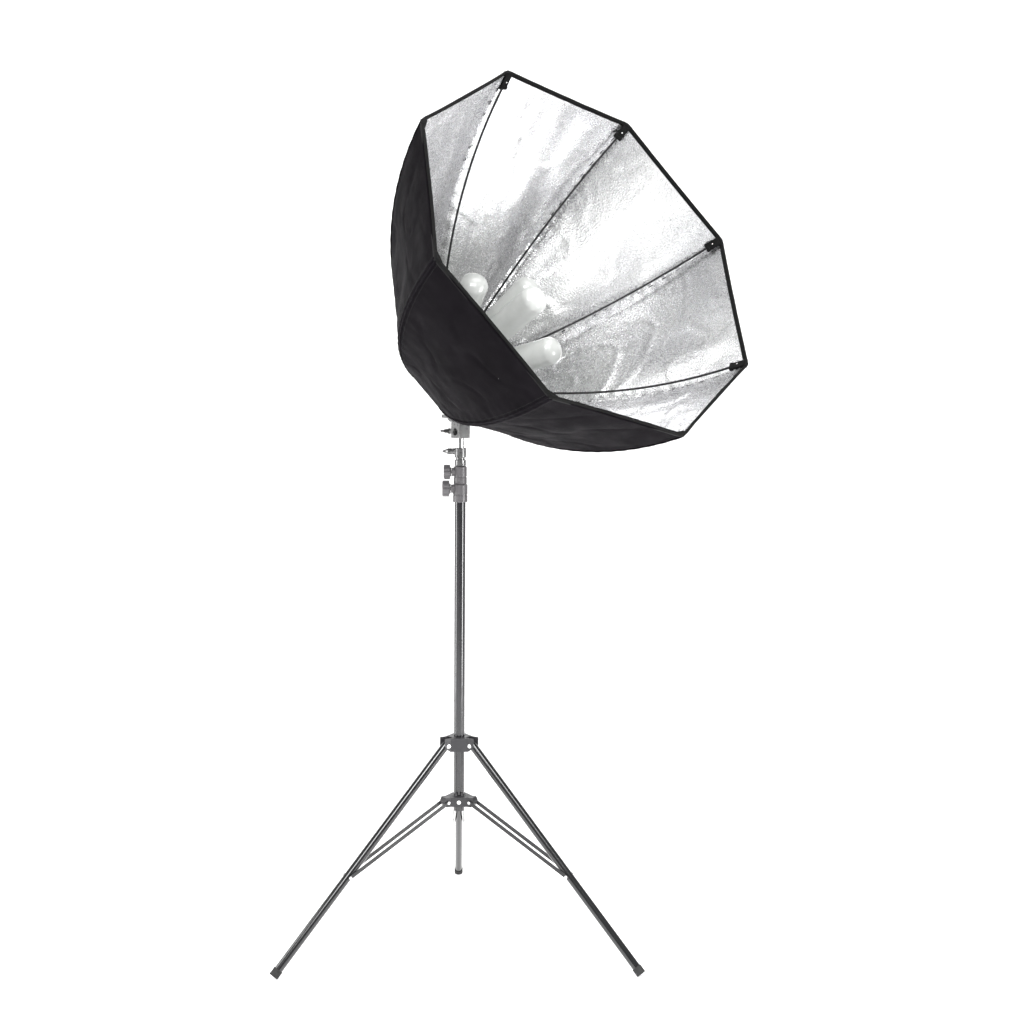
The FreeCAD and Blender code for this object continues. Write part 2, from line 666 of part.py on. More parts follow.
def make_speed_ring():
    body = new_body("speed_ring")
    revolve(body, [
        ("head_od / 2", "ring_low"), ("ring_out", "ring_low"), ("ring_out", "ring_low + ring_thick"),
        ("head_od / 2", "ring_low + ring_thick"),
    ])
    seat = outline(body, "XZ_Plane", [
        (84, "ring_low + ring_thick"), ("ring_out", "ring_low + ring_thick"), ("ring_out", 25),
        (104, 31), (84, 31),
    ])
    seats = pad(body, seat, 14, middle=True)
    doc.recompute()
    window = outline(body, "XY_Plane", [(78, -5), (104, -5), (104, 5), (78, 5)], "ring_low - 1")
    feature = pocket(body, window, "ring_thick - 1", back=True)
    doc.recompute()
    repeat(body, [seats, feature], DIMS["sides"])
    node("speed_ring", body, HEAD.multiply(frame(angle="90 + first_rib")))


def bulb_frames():
    """Frames with Z along each lamp: the middle one first, then the four that lean outward."""
    spots = [HEAD.multiply(frame(z="centre_base_up"))]
    for quarter in range(4):
        lean = frame(angle=45 + 90 * quarter)
        lean = lean.multiply(frame("bulb_out", 0, "bulb_base_up", (0, 1, 0), "holder_cant"))
        spots.append(HEAD.multiply(lean))
    return spots


def make_bulbs():
    holders = []
    bases = []
    for number, spot in enumerate(bulb_frames(), 1):
        glass = new_body(f"bulb_{number}")
        wide = "bulb_od / 2"
        revolve(glass, [
            ("ballast_od / 2 - 1.2", "ballast_len"), ("ballast_od / 2", "ballast_len"),
            (wide, "ballast_len + 5"), (wide, "bulb_len - 21"), (f"{wide} - 1.2", "bulb_len - 14.6"),
            (f"{wide} - 4.4", "bulb_len - 9"), (f"{wide} - 9.2", "bulb_len - 4.6"),
            (f"{wide} - 15.5", "bulb_len - 1.7"), (f"{wide} - 23", "bulb_len - 0.3"), (0, "bulb_len"),
            (0, "bulb_len - 1.4"), (f"{wide} - 16", "bulb_len - 3"), (f"{wide} - 10", "bulb_len - 5.8"),
            (f"{wide} - 5.5", "bulb_len - 10"), (f"{wide} - 2.4", "bulb_len - 15.2"),
            (f"{wide} - 1.2", "bulb_len - 21.4"), (f"{wide} - 1.2", "ballast_len + 5.4"),
        ])
        node(f"bulb_{number}", glass, spot)
        base = new_body(f"base_{number}")
        revolve(base, [
            (0, -22), (8, -22), (13, -19), (13, 0), (19, 0), (22, 4), ("ballast_od / 2", 14),
            ("ballast_od / 2", "ballast_len"), (0, "ballast_len"),
        ])
        base.Placement = spot
        bases.append(base)
    node("bulb_bases", bases)

    for number, spot in enumerate(bulb_frames()):
        if number == 0:
            cup = fuse(
                rod(20, 38, (0, 0, -38)),
                rod(9, "centre_base_up - head_front - 38", (0, 0, "head_front - centre_base_up")),
            )
        else:
            cup = rod(20, 44, (0, 0, -44))
        cup = cut(cup, rod(13.6, 26, (0, 0, -25)))
        cup.Placement = HEAD.inverse().multiply(spot)
        if number:
            cup = cut(cup, rod(80, 60, (0, 0, "head_front - 60")))
        holders.append(cup)
    node("lamp_holders", holders, HEAD)


# ---- canopy --------------------------------------------------------------------------------------

def arc_through(a, b, c):
    """Centre and radius of the circle through three points of a plane."""
    arc = Part.Arc(V(*a, 0), V(*b, 0), V(*c, 0)).toShape().Curve
    return arc.Center, arc.Radius


def rib_section(angle):
    """The cloth's section in the plane of one rib: an outer arc, an inner arc and two short ends."""
    sketch = doc.addObject("Sketcher::SketchObject", "rib_section")
    outer = [("rim_r", "rim_up"), ("mid_r", "mid_up"), ("back_r", "back_up")]
    inner = [("rim_r - cloth * 1.1", "rim_up"), ("mid_r - cloth", "mid_up - cloth * 0.8"),
             ("back_r - cloth * 1.5", "back_up")]
    ends = []
    for corners in (outer, inner):
        spots = [V(size(x), size(y), 0) for x, y in corners]
        sketch.addGeometry(Part.Arc(*spots), False)
        ends.append(spots)
    sketch.addGeometry(Part.LineSegment(ends[0][0], ends[1][0]), False)
    sketch.addGeometry(Part.LineSegment(ends[0][2], ends[1][2]), False)
    sketch.Placement = Place(V(), Turn(V(0, 0, 1), angle)).multiply(Place(V(), Turn(V(1, 0, 0), 90)))
    return sketch


def make_canopy():
    count = DIMS["sides"]
    step = 360 / count
    first = 90 + size("first_rib")
    sections = [rib_section(first - step * k) for k in range(count)]
    doc.recompute()
    for k in range(count):
        gore = doc.addObject("Part::Loft", "gore")
        gore.Sections = [sections[k], sections[(k + 1) % count]]
        gore.Solid = True
        gore.Ruled = True
        node(f"canopy_panel_{k + 1}", gore, HEAD)

    rods = []
    pockets = []
    start = (97, size("ring_low") + 20)
    end = (size("rim_r") - 16, size("rim_up") - 16)
    middle = ((start[0] + end[0]) / 2 + 33, (start[1] + end[1]) / 2 - 26)
    centre, radius = arc_through(start, middle, end)
    from_angle = math.degrees(math.atan2(start[1] - centre.y, start[0] - centre.x))
    to_angle = math.degrees(math.atan2(end[1] - centre.y, end[0] - centre.x))
    for k in range(count):
        ray = Place(V(), Turn(V(0, 0, 1), first - step * k)).multiply(Place(V(), Turn(V(1, 0, 0), 90)))
        hoop = doc.addObject("Part::Torus", "rod")
        hoop.Radius1 = radius
        hoop.setExpression("Radius2", link("rod_od / 2"))
        hoop.Angle3 = to_angle - from_angle
        hoop.Placement = ray.multiply(Place(V(centre.x, centre.y, 0), Turn(V(0, 0, 1), from_angle)))
        rods.append(hoop)
        slope = Turn(V(0, 0, 1), to_angle + 90)
        tab = doc.addObject("Part::Box", "pocket")
        tab.Length, tab.Width, tab.Height = 16, 5.2, 17
        tab.Placement = ray.multiply(Place(V(end[0], end[1], 0), slope)).multiply(Place(V(0, -2.6, -8.5), Turn()))
        pockets.append(tab)
    node("canopy_ribs", rods, HEAD)
    node("corner_pockets", pockets, HEAD)

    turned = "90 + first_rib"
    band = cut(
        prism("rim_r + 0.6", 7, (0, 0, "rim_up"), turned),
        prism("rim_r - 5.6", 9, (0, 0, "rim_up - 1"), turned),
    )
    node("rim_binding", band, HEAD)
    cuff = cut(
        prism("back_r", 3, (0, 0, "back_up - 3"), turned),
        rod("head_od / 2", 6, (0, 0, "back_up - 5")),
    )
    node("rear_cuff", cuff, HEAD)


# ---- build, check and write ----------------------------------------------------------------------

make_tubes()
make_collars()
make_knobs()
make_leg_collar()
make_hub()
make_pins()
for side in LEGS:
    make_leg(side)
    make_strut(side)
make_receiver()
make_bracket()
make_head()
make_bulbs()
make_canopy()
doc.recompute()

for item in doc.Objects:
    if "Invalid" in item.State or "Error" in item.State:
        raise RuntimeError(f"{item.Label}: {item.State}")
os.makedirs("parts", exist_ok=True)
for label, part in NODES.items():
    shape = part.Shape
    if shape.isNull() or not shape.isValid() or not shape.Solids:
        raise RuntimeError(f"{label}: bad shape")
    shape.exportStep(f"parts/{label}.step")
print(len(NODES), "parts written")
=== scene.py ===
"""Looks for the studio softbox: canopy cloth, binding, lamps and the finish of every part."""

import json
import math

import bmesh
import bpy
from mathutils import Matrix, Vector, noise


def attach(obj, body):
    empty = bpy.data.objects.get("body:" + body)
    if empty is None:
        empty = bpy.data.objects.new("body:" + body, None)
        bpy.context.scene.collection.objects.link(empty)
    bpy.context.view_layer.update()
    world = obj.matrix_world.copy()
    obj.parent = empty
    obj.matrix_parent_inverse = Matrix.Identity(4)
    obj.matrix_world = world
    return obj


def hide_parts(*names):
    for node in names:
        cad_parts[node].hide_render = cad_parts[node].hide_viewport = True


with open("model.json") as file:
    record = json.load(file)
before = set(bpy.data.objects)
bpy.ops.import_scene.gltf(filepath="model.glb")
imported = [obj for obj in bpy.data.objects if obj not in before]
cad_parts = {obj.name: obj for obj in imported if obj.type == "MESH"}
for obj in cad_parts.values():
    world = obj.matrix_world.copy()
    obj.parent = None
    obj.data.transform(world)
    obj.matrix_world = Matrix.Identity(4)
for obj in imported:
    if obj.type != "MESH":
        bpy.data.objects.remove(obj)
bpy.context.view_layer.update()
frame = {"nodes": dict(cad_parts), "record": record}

NODES = frame["nodes"]
JOINTS = {joint["name"]: joint for joint in frame["record"]["behaviour"]["joints"]}

# The head's own frame: X across, Y up the head, Z forward along the canopy's axis.
ELEVATION = math.radians(28.52)
PIVOT = Vector(JOINTS["head_tilt"]["pos_m"])
TURN = Matrix.Rotation(math.pi / 2 - ELEVATION, 4, "X")
PIVOT_TO_HEAD = (0, 0.1046, 0.015)
HEAD = Matrix.Translation(PIVOT) @ TURN @ Matrix.Translation(PIVOT_TO_HEAD)
HEAD_TURN = HEAD.to_3x3().to_4x4()

# The canopy. A rib is an arc through three points, each (distance from the axis, height), in metres.
SIDES = 8
GORE_ANGLE = math.tau / SIDES
FIRST_RIB = math.radians(97.45)
RIM = (0.433, 0.520)
BELLY = (0.316, 0.230)
BACK = (0.124, 0.012)
GORE_SPAN = 0.765       # width of a gore divided by its distance from the axis
CLOTH = 0.0016          # drawn thickness of the cloth
CANOPY_ACROSS, CANOPY_ALONG = 34, 104

# The cuff's radius at the canopy's corners and round the lamp head, and its gathers.
CUFF_EDGE, CUFF_HOLE, GATHERS = 0.1257, 0.0545, 44

STITCH = 0.0062         # from one stitch to the next
LAMP_RADIUS = 0.031

CAMERA_SPOT = (-2.1181, -2.5805, 1.274)
CAMERA_AHEAD = (0.6592, 0.7475, -0.0820)
CAMERA_ROLL = 0.0072
CAMERA_LENS = 51.64


# ---- materials -----------------------------------------------------------------------------------

class Shade:
    """A material with short calls for its nodes."""

    def __init__(self, name, **sockets):
        self.mat = bpy.data.materials.new(name)
        self.mat.use_nodes = True
        self.tree = self.mat.node_tree
        self.bsdf = next(n for n in self.tree.nodes if n.type == "BSDF_PRINCIPLED")
        for socket, value in sockets.items():
            self.bsdf.inputs[socket.replace("_", " ")].default_value = value
        self.coord = self.add("ShaderNodeTexCoord").outputs["Object"]

    def add(self, kind, **values):
        node = self.tree.nodes.new(kind)
        for name, value in values.items():
            if name in node.inputs:
                node.inputs[name].default_value = value
            else:
                setattr(node, name, value)
        return node

    def link(self, out, into):
        self.tree.links.new(out, into)

    def coords(self, scale=(1, 1, 1), turn=(0, 0, 0)):
        node = self.add("ShaderNodeMapping")
        self.link(self.coord, node.inputs["Vector"])
        node.inputs["Scale"].default_value = scale
        node.inputs["Rotation"].default_value = turn
        return node.outputs["Vector"]

    def noise(self, scale, detail=3.0, rough=0.55, vector=None):
        node = self.add("ShaderNodeTexNoise", Scale=scale, Detail=detail, Roughness=rough)
        self.link(vector or self.coord, node.inputs["Vector"])
        return node.outputs["Fac"]

    def cells(self, scale):
        node = self.add("ShaderNodeTexVoronoi", feature="F1")
        node.inputs["Scale"].default_value = scale
        self.link(self.coord, node.inputs["Vector"])
        return node.outputs["Distance"]

    def bands(self, scale, vector, direction):
        node = self.add("ShaderNodeTexWave", bands_direction=direction, wave_profile="SIN")
        node.inputs["Scale"].default_value = scale
        self.link(vector, node.inputs["Vector"])
        return node.outputs["Fac"]

    def math(self, kind, a, b=None):
        node = self.add("ShaderNodeMath", operation=kind)
        for value, socket in ((a, node.inputs[0]), (b, node.inputs[1])):
            if value is None:
                continue
            if isinstance(value, (int, float)):
                socket.default_value = value
            else:
                self.link(value, socket)
        return node.outputs[0]

    def ramp(self, fac, low, high, a=0.0, b=1.0):
        node = self.add("ShaderNodeMapRange")
        node.inputs["From Min"].default_value = low
        node.inputs["From Max"].default_value = high
        node.inputs["To Min"].default_value = a
        node.inputs["To Max"].default_value = b
        self.link(fac, node.inputs["Value"])
        return node.outputs["Result"]

    def colours(self, fac, first, second, low=0.3, high=0.7):
        node = self.add("ShaderNodeValToRGB")
        node.color_ramp.elements[0].color = (*first, 1)
        node.color_ramp.elements[1].color = (*second, 1)
        node.color_ramp.elements[0].position = low
        node.color_ramp.elements[1].position = high
        self.link(fac, node.inputs["Fac"])
        return node.outputs["Color"]

    def set(self, socket, out):
        self.link(out, self.bsdf.inputs[socket])

    def bump(self, height, strength, distance, under=None):
        node = self.add("ShaderNodeBump")
        node.inputs["Strength"].default_value = strength
        node.inputs["Distance"].default_value = distance
        self.link(height, node.inputs["Height"])
        if under is not None:
            self.link(under, node.inputs["Normal"])
        self.set("Normal", node.outputs["Normal"])
        return node.outputs["Normal"]


def shades_of(tone, dark, light):
    """A darker and a lighter version of a colour."""
    return tuple(c * dark for c in tone), tuple(c * light for c in tone)


def nylon():
    """Black woven cloth, soft and creased."""
    s = Shade("nylon_outside", Roughness=0.6, Sheen_Weight=0.004, Sheen_Roughness=0.5,
              Specular_IOR_Level=0.015)
    s.bsdf.inputs["Sheen Tint"].default_value = (0.8, 0.74, 0.82, 1)
    s.set("Base Color", s.colours(s.noise(9, 4), (0.0055, 0.0046, 0.0060), (0.0095, 0.0080, 0.0102)))
    warp = s.bands(430, s.coords(turn=(0.3, 0.2, 0.4)), "X")
    weft = s.bands(430, s.coords(turn=(0.3, 0.2, 0.4)), "Y")
    weave = s.math("MULTIPLY", warp, weft)
    first = s.bump(weave, 0.35, 0.00025)
    s.bump(s.noise(38, 5, 0.6), 0.14, 0.0012, first)
    s.set("Roughness", s.ramp(s.noise(24, 4), 0.3, 0.7, 0.5, 0.66))
    return s.mat


def silver():
    """A pebbled metallised lining: small dimples over soft creases."""
    s = Shade("silver_lining", Metallic=0.95, Roughness=0.28)
    s.set("Base Color", s.colours(s.noise(7, 3), (0.72, 0.72, 0.735), (0.90, 0.90, 0.90)))
    pebbles = s.cells(310)
    grain = s.noise(430, 2, 0.5)
    first = s.bump(pebbles, 0.3, 0.0013)
    second = s.bump(grain, 0.35, 0.0006, first)
    s.bump(s.noise(16, 3, 0.5), 0.5, 0.004, second)
    s.set("Roughness", s.ramp(s.noise(200, 2), 0.3, 0.7, 0.18, 0.34))
    return s.mat


def webbing(name, tone):
    """Ribbed tape or thread."""
    s = Shade(name, Roughness=0.7, Sheen_Weight=0.02, Specular_IOR_Level=0.12)
    s.set("Base Color", s.colours(s.noise(60, 3), (tone * 0.8,) * 3, (tone * 1.25,) * 3))
    ribs = s.bands(520, s.coords(turn=(0.5, 0.1, 0.7)), "Z")
    first = s.bump(ribs, 0.5, 0.0003)
    s.bump(s.noise(300, 3), 0.3, 0.0004, first)
    return s.mat


def enamel(name, tone, rough, coat, speckle=0.25):
    """Stoved paint over tube: fine orange peel, with slightly worn patches."""
    s = Shade(name, Metallic=0.25, Roughness=rough, Coat_Weight=coat, Coat_Roughness=0.05)
    s.set("Base Color", s.colours(s.noise(28, 5), *shades_of(tone, 0.85, 1.2)))
    s.bump(s.noise(620, 2), speckle, 0.00015)
    s.set("Roughness", s.ramp(s.noise(45, 5), 0.35, 0.7, rough * 0.85, rough * 1.25))
    return s.mat


def plastic(name, tone, rough, grain=0.3):
    """Moulded plastic or rubber with a fine grain."""
    s = Shade(name, Roughness=rough, Specular_IOR_Level=0.45)
    s.set("Base Color", s.colours(s.noise(40, 4), *shades_of(tone, 0.9, 1.12)))
    s.bump(s.cells(1500), grain, 0.0001)
    s.set("Roughness", s.ramp(s.noise(70, 4), 0.3, 0.7, rough * 0.85, min(1, rough * 1.2)))
    return s.mat


def cast_metal(name, tone, rough):
    """Sand-textured die casting."""
    s = Shade(name, Metallic=0.75, Roughness=rough)
    s.set("Base Color", s.colours(s.noise(90, 6, 0.7), (tone * 0.72,) * 3, (tone * 1.1,) * 3))
    first = s.bump(s.noise(700, 4, 0.7), 0.4, 0.00035)
    s.bump(s.noise(60, 3), 0.2, 0.0008, first)
    s.set("Roughness", s.ramp(s.noise(120, 5), 0.3, 0.7, rough * 0.8, rough * 1.25))
    return s.mat


def steel(name, tone, rough):
    """Bright drawn steel."""
    s = Shade(name, Metallic=1.0, Roughness=rough)
    s.set("Base Color", s.colours(s.noise(50, 4), (tone * 0.9,) * 3, (tone,) * 3))
    s.bump(s.noise(900, 2, vector=s.coords((1, 1, 0.08))), 0.15, 0.0001)
    s.set("Roughness", s.ramp(s.noise(80, 4), 0.3, 0.7, rough * 0.7, rough * 1.4))
    return s.mat


def frosted():
    """Opal lamp glass that glows."""
    s = Shade("frosted_glass", Roughness=0.22, Subsurface_Weight=0.25, Coat_Weight=0.5)
    s.bsdf.inputs["Subsurface Radius"].default_value = (0.01, 0.01, 0.01)
    s.bsdf.inputs["Emission Strength"].default_value = 0.13
    s.bsdf.inputs["Emission Color"].default_value = (0.95, 0.97, 0.93, 1)
    s.set("Base Color", s.colours(s.noise(30, 3), (0.33, 0.34, 0.33), (0.40, 0.41, 0.40)))
    s.bump(s.noise(500, 2), 0.08, 0.0001)
    return s.mat


# ---- mesh helpers --------------------------------------------------------------------------------

def piece(name, verts, faces, mats, slots=None, where=HEAD):
    """A smooth mesh object; slots gives the material number of each face."""
    mesh = bpy.data.meshes.new(name)
    mesh.from_pydata([where @ Vector(v) for v in verts], [], faces)
    for mat in mats:
        mesh.materials.append(mat)
    if slots:
        mesh.polygons.foreach_set("material_index", slots)
    mesh.polygons.foreach_set("use_smooth", [True] * len(mesh.polygons))
    obj = bpy.data.objects.new(name, mesh)
    bpy.context.collection.objects.link(obj)
    return obj


def face_out(obj):
    """Turns every face of a closed piece outwards."""
    mesh = bmesh.new()
    mesh.from_mesh(obj.data)
    bmesh.ops.recalc_face_normals(mesh, faces=mesh.faces)
    mesh.to_mesh(obj.data)
    mesh.free()


def arc(a, b, c):
    """The circle through three points: centre, radius and the first and last angle."""
    ax, ay, bx, by, cx, cy = *a, *b, *c
    d = 2 * (ax * (by - cy) + bx * (cy - ay) + cx * (ay - by))
    qa, qb, qc = ax * ax + ay * ay, bx * bx + by * by, cx * cx + cy * cy
    ux = (qa * (by - cy) + qb * (cy - ay) + qc * (ay - by)) / d
    uy = (qa * (cx - bx) + qb * (ax - cx) + qc * (bx - ax)) / d
    first = math.atan2(ay - uy, ax - ux)
    last = math.atan2(cy - uy, cx - ux)
    return Vector((ux, uy)), math.hypot(ax - ux, ay - uy), first, last


CENTRE, BEND, LOW, HIGH = arc(BACK, BELLY, RIM)
RIB_LENGTH = BEND * abs(HIGH - LOW)


def rib_point(v, inset=0.0):
    """(distance from the axis, height) on a rib: v is 0 at the back and 1 at the rim."""
    angle = LOW + (HIGH - LOW) * v
    return CENTRE.x + (BEND - inset) * math.cos(angle), CENTRE.y + (BEND - inset) * math.sin(angle)


def rib_ray(k):
    """The direction from the axis to rib k."""
    angle = FIRST_RIB - math.pi * 2 / SIDES * k
    return Vector((math.cos(angle), math.sin(angle), 0))


def canopy_point(k, u, v, inset=0.0):
    """A point of gore k: u runs from one rib to the next."""
    r, z = rib_point(v, inset)
    spot = rib_ray(k).lerp(rib_ray(k + 1), u) * r
    return Vector((spot.x, spot.y, z))


def ripple(k, u, v):
    """How far the cloth stands in from the flat gore, in metres."""
    arch = math.sin(math.pi * min(max(v, 0), 1))
    belly = 4 * u * (1 - u)
    sag = 0.0045 * belly * arch
    side = min(u, 1 - u)
    width = rib_point(v)[0] * GORE_SPAN
    off_seam = side * width
    length = v * 0.62
    beat = length / 0.0105 * 2 + k * 1.7 + 2.5 * math.sin(v * 9 + k)
    pucker = math.exp(-off_seam / 0.013) * 0.0008 * math.sin(beat)
    spot = Vector((u * 1.6 + k * 7.3, v * 2.3, k * 3.1))
    fold = noise.noise(spot * 1.7) * 0.0055
    fold += noise.noise(Vector((u * 5 + k * 2, v * 3.1 + u * 4, 5.5))) * 0.0032
    crease = noise.noise(Vector((u * 2.2 + v * 5.5, v * 2 - u * 3 + k * 9, 1.5)))
    crease = (1 - min(1, abs(crease) * 7)) ** 2 * 0.0022
    hold = min(1, side * 9) * min(1, (1 - v) * 14) * min(1, v * 9)
    return sag + pucker * min(1, (1 - v) * 30) + (fold + crease) * hold


def make_canopy(outside, inside):
    """Eight gores as one sheet with an outer and an inner skin."""
    across, along = CANOPY_ACROSS, CANOPY_ALONG
    verts, faces, slots = [], [], []
    for skin, inset in ((0, 0.0), (1, CLOTH)):
        base = len(verts)
        for k in range(SIDES):
            for i in range(across):
                u = i / across
                for j in range(along + 1):
                    v = j / along
                    verts.append(canopy_point(k, u, v, inset + ripple(k, u, v)))
        columns = SIDES * across
        for c in range(columns):
            for j in range(along):
                a = base + c * (along + 1) + j
                b = base + (c + 1) % columns * (along + 1) + j
                quad = [a, b, b + 1, a + 1]
                faces.append(quad if skin else quad[::-1])
                slots.append(skin)
    half = len(verts) // 2
    columns = SIDES * across
    for c in range(columns):
        for j, flip in ((0, False), (along, True)):
            a = c * (along + 1) + j
            b = (c + 1) % columns * (along + 1) + j
            quad = [a, b, b + half, a + half]
            faces.append(quad[::-1] if flip else quad)
            slots.append(0)
    canopy = piece("canopy", verts, faces, [outside, inside], slots=slots)
    mark_seams(canopy, along, across)
    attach(canopy, "head")
    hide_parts(*[f"canopy_panel_{k + 1}" for k in range(SIDES)])
    return canopy


def mark_seams(canopy, along, across):
    """Keeps the eight seams crisp in an otherwise smooth cloth."""
    sharp = set()
    for skin in range(2):
        base = skin * SIDES * across * (along + 1)
        for k in range(SIDES):
            first = base + k * across * (along + 1)
            sharp.update((first + j, first + j + 1) for j in range(along))
    for edge in canopy.data.edges:
        a, b = sorted(edge.vertices)
        if (a, b) in sharp:
            edge.use_edge_sharp = True


def sweep(name, points, ups, section, mat, close_path=False):
    """Sweeps a closed section, given as (side, up) offsets, along points in the head's frame."""
    verts, faces = [], []
    count, ring = len(points), len(section)
    for i, (p, up) in enumerate(zip(points, ups)):
        ahead = points[(i + 1) % count] if close_path or i + 1 < count else points[i]
        behind = points[i - 1] if close_path or i else points[0]
        run = (ahead - behind).normalized()
        side = run.cross(up).normalized()
        top = side.cross(run).normalized()
        verts += [p + side * s + top * t for s, t in section]
    last = count if close_path else count - 1
    for i in range(last):
        for j in range(ring):
            a, b = i * ring + j, i * ring + (j + 1) % ring
            c, d = (i + 1) % count * ring + (j + 1) % ring, (i + 1) % count * ring + j
            faces.append([a, b, c, d])
    if not close_path:
        faces.append(list(range(ring))[::-1])
        faces.append([(count - 1) * ring + j for j in range(ring)])
    obj = piece(name, verts, faces, [mat])
    face_out(obj)
    return obj


def oval(wide, tall, count=12):
    """The corners of an oval section."""
    angles = [math.tau * j / count for j in range(count)]
    return [(wide * math.cos(a), tall * math.sin(a)) for a in angles]


def make_seams(mat, thread):
    """A ridge over each seam outside, with a row of stitches each side of it."""
    for k in range(SIDES):
        ray = rib_ray(k)
        for hand in (0.0036, -0.0036):
            points, ups = [], []
            for j in range(120):
                v = 0.004 + 0.992 * j / 119
                across = hand / (rib_point(v)[0] * GORE_SPAN)
                gore, u = (k, across) if hand > 0 else (k - 1, 1 + across)
                points.append(canopy_point(gore, u, v, -0.0004 - 0.0003 * math.sin(j * 0.9 + k)))
                ups.append(Vector((ray.x, ray.y, 0)))
            label = f"seam_ridge_{k + 1}_{'a' if hand > 0 else 'b'}"
            ridge = sweep(label, points, ups, oval(0.0024, 0.0015), mat)
            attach(ridge, "head")
    verts, faces = [], []
    for k in range(SIDES):
        for hand in (0.0105, -0.0105):
            steps = int(RIB_LENGTH / STITCH)
            for i in range(steps):
                v = (i + 0.2) / steps
                gore = k if hand > 0 else k - 1
                u = abs(hand) / (rib_point(v)[0] * GORE_SPAN)
                u = u if hand > 0 else 1 - u
                a = canopy_point(gore, u, v, ripple(gore, u, v) - 0.0003)
                w = v + 0.55 / steps
                b = canopy_point(gore, u, w, ripple(gore, u, w) - 0.0003)
                out = Vector((a.x, a.y, 0)).normalized()
                side = (b - a).cross(out).normalized() * 0.0004
                base = len(verts)
                verts += [a - side, a + side, b + side, b - side, (a + b) / 2 + out * 0.0005]
                faces += [[base + n, base + (n + 1) % 4, base + 4] for n in range(4)]
    stitches = piece("seam_stitches", verts, faces, [thread])
    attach(stitches, "head")


def make_binding(mat):
    """A folded tape over the rim, a little slack between its corners."""
    points, ups = [], []
    steps = 40
    for k in range(SIDES):
        a, b = rib_ray(k) * (RIM[0] - 0.0022), rib_ray(k + 1) * (RIM[0] - 0.0022)
        for i in range(steps):
            u = i / steps
            spot = a.lerp(b, u)
            slack = 0.0022 * 4 * u * (1 - u) + 0.0006 * noise.noise(Vector((k * 5, u * 9, 0)))
            out = Vector((spot.x, spot.y, 0)).normalized()
            if i == 0:
                spot = a * 0.9985
            points.append(Vector((spot.x, spot.y, RIM[1] + 0.0005)) - out * slack)
            ups.append(Vector((0, 0, 1)))
    section = [(-0.0024, -0.0052), (0.0024, -0.0052), (0.0028, -0.0016), (0.0027, 0.0028), (0.0015, 0.0045),
               (-0.0015, 0.0045), (-0.0027, 0.0028), (-0.0028, -0.0016)]
    tape = sweep("rim_tape", points, ups, section, mat, close_path=True)
    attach(tape, "head")
    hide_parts("rim_binding")


def slab(bm, size, where, rounding=0.0012, puff=0.0):
    """A rounded, slightly puffed block of tape added to a bmesh."""
    made = bmesh.ops.create_cube(bm, size=1.0)
    verts = made["verts"]
    bmesh.ops.scale(bm, vec=size, verts=verts)
    edges = list({e for v in verts for e in v.link_edges})
    cut = bmesh.ops.bevel(bm, geom=edges, offset=rounding, segments=3, affect="EDGES", profile=0.6)
    all_verts = list({v for f in cut["faces"] for v in f.verts} | {v for v in verts if v.is_valid})
    for v in all_verts:
        lift = max(0, 1 - abs(v.co.x) / (size[0] / 2)) * max(0, 1 - abs(v.co.z) / (size[2] / 2))
        v.co.y += math.copysign(puff * lift, v.co.y)
    bmesh.ops.transform(bm, matrix=where, verts=all_verts)


def make_pockets(mat, metal):
    """A webbing pocket in each corner, doubled at its mouth, with an eyelet."""
    bm = bmesh.new()
    dots = bmesh.new()
    for k in range(SIDES):
        ray = rib_ray(k)
        r0, z0 = rib_point(0.999, 0.007)
        r1, z1 = rib_point(0.93, 0.012)
        run = (Vector((ray.x * r0, ray.y * r0, z0)) - Vector((ray.x * r1, ray.y * r1, z1))).normalized()
        side = Vector((-ray.y, ray.x, 0))
        out = side.cross(run).normalized()
        turn = Matrix((side, out, run)).transposed().to_4x4()
        top = Vector((ray.x * r0, ray.y * r0, z0 - 0.001))
        body = Matrix.Translation(HEAD @ (top - run * 0.0165 - out * 0.003)) @ HEAD_TURN @ turn
        slab(bm, (0.0175, 0.0052, 0.033), body, puff=0.0012)
        mouth = Matrix.Translation(HEAD @ (top - run * 0.030 - out * 0.003)) @ HEAD_TURN @ turn
        slab(bm, (0.0195, 0.0072, 0.0085), mouth, puff=0.0008)
        cap = Matrix.Translation(HEAD @ (top + run * 0.001 - out * 0.001)) @ HEAD_TURN @ turn
        slab(bm, (0.024, 0.0062, 0.009), cap, puff=0.0006)
        lift = -0.0068 if out.dot(ray) > 0 else 0.0008
        inward = Matrix.Translation(HEAD @ (top - run * 0.016 + out * lift))
        stud = inward @ HEAD_TURN @ turn @ Matrix.Rotation(math.pi / 2, 4, "X")
        bmesh.ops.create_cone(dots, cap_ends=True, segments=14, radius1=0.0022, radius2=0.0014,
                              depth=0.0012, matrix=stud)
    for name, mesh_data, look, slot_name in (
            ("rim_pockets", bm, mat, "webbing"),
            ("pocket_studs", dots, metal, "bright_steel")):
        mesh = bpy.data.meshes.new(name)
        mesh_data.to_mesh(mesh)
        mesh_data.free()
        mesh.materials.append(look)
        mesh.polygons.foreach_set("use_smooth", [True] * len(mesh.polygons))
        obj = bpy.data.objects.new(name, mesh)
        bpy.context.collection.objects.link(obj)
        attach(obj, "head")
        if name == "rim_pockets":
            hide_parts("corner_pockets")


